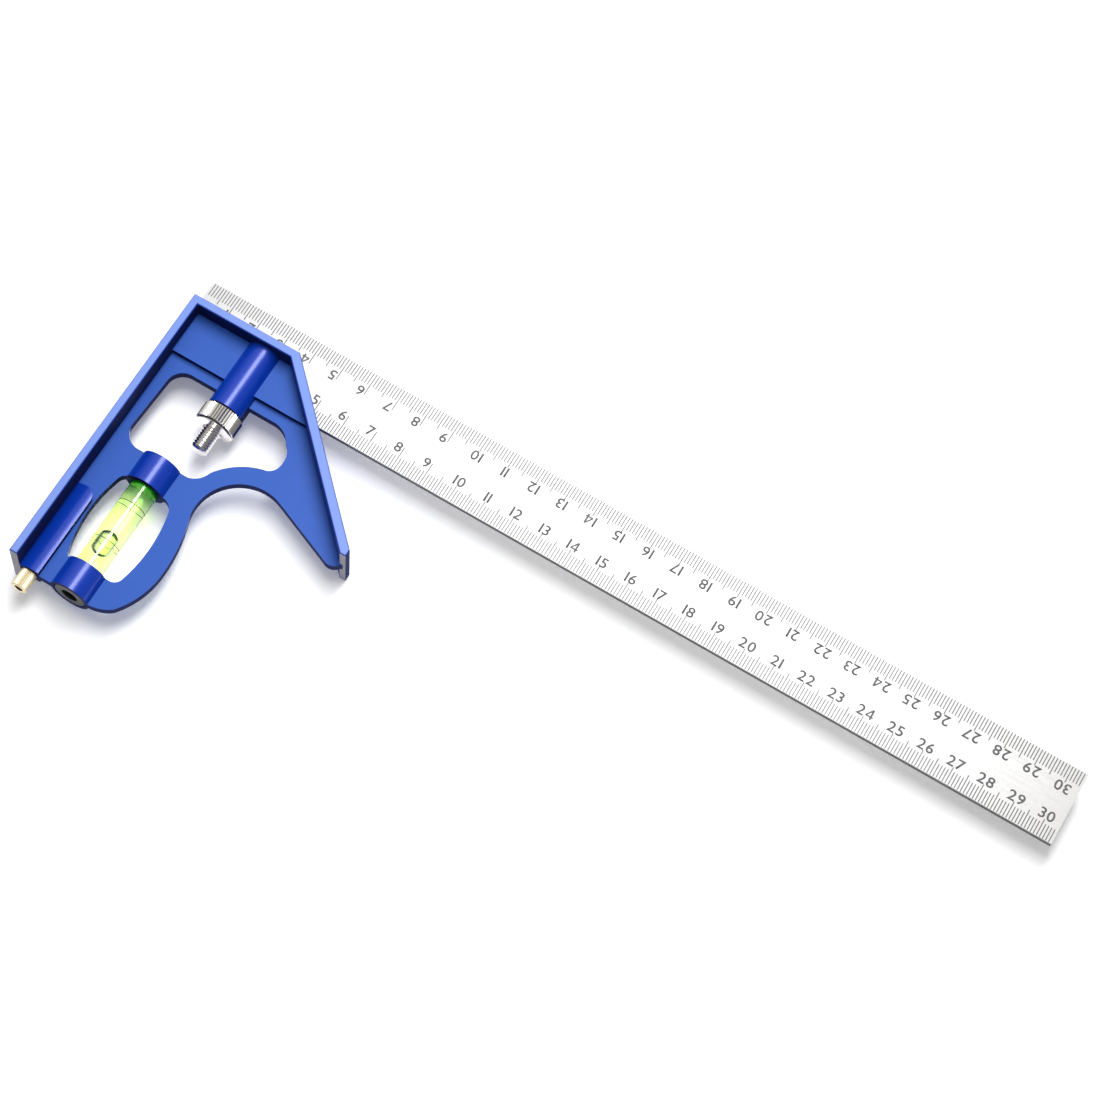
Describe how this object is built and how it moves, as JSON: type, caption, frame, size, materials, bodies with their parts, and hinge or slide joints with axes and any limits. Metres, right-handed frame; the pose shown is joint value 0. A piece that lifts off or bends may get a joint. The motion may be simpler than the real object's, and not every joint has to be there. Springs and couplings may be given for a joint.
{
  "type": "combination square",
  "caption": "Combination square: blue head with 90 and 45 degree faces, sliding steel rule, screw lock, spirit level and scriber.",
  "frame": {"origin": "middle of the bounding box's underside, where the head lies on a bench", "axes": "+X along the rule away from the 90 degree face, +Y towards the rule's upper edge, +Z out of the numbered face"},
  "size_m": [0.305, 0.1166, 0.02],
  "materials": {
    "blue_finish": "satin blue coat",
    "blade_steel": "satin stainless",
    "nickel": "bright nickel plate",
    "spring_steel": "plain spring steel",
    "vial_clear": "clear",
    "vial_green": "clear yellow-green liquid",
    "cap_green": "dark green",
    "pad_rubber": "soft",
    "plug_dark": "matt dark grey",
    "brass_knob": "knurled pale brass",
    "needle_steel": "hardened, ground",
    "bush_plastic": "off-white"
  },
  "bodies": {
    "head": {"head_casting": "blue_finish", "lock_spring": "spring_steel", "vial_tube": "vial_clear", "vial_cap": "cap_green", "vial_liquid": "vial_green", "vial_pad": "pad_rubber", "vial_plug": "plug_dark", "scriber_bush": "bush_plastic"},
    "blade": {"blade": "blade_steel"},
    "lock_bolt": {"lock_bolt": "nickel"},
    "lock_nut": {"lock_nut": "nickel"},
    "scriber": {"scriber_needle": "needle_steel", "scriber_knob": "brass_knob"}
  },
  "joints": [
    {"name": "blade_slide", "type": "slide", "parent": "head", "child": "blade", "axis": [1, 0, 0], "range_m": [-0.27, 0.018]},
    {"name": "nut_turn", "type": "hinge", "parent": "head", "child": "lock_nut", "pos_m": [-0.1255, 0.0189, 0.01], "axis": [0, -1, 0], "range_deg": [0, 217]},
    {"name": "bolt_lift", "type": "slide", "parent": "head", "child": "lock_bolt", "axis": [0, 1, 0], "range_m": [0, 0.0006]},
    {"name": "scriber_pull", "type": "slide", "parent": "head", "child": "scriber", "axis": [0, -1, 0], "range_m": [0, 0.03]}
  ],
  "couplings": [
    {"joint": "nut_turn", "follows": "bolt_lift", "rad_per_m": 6283.2}
  ]
}
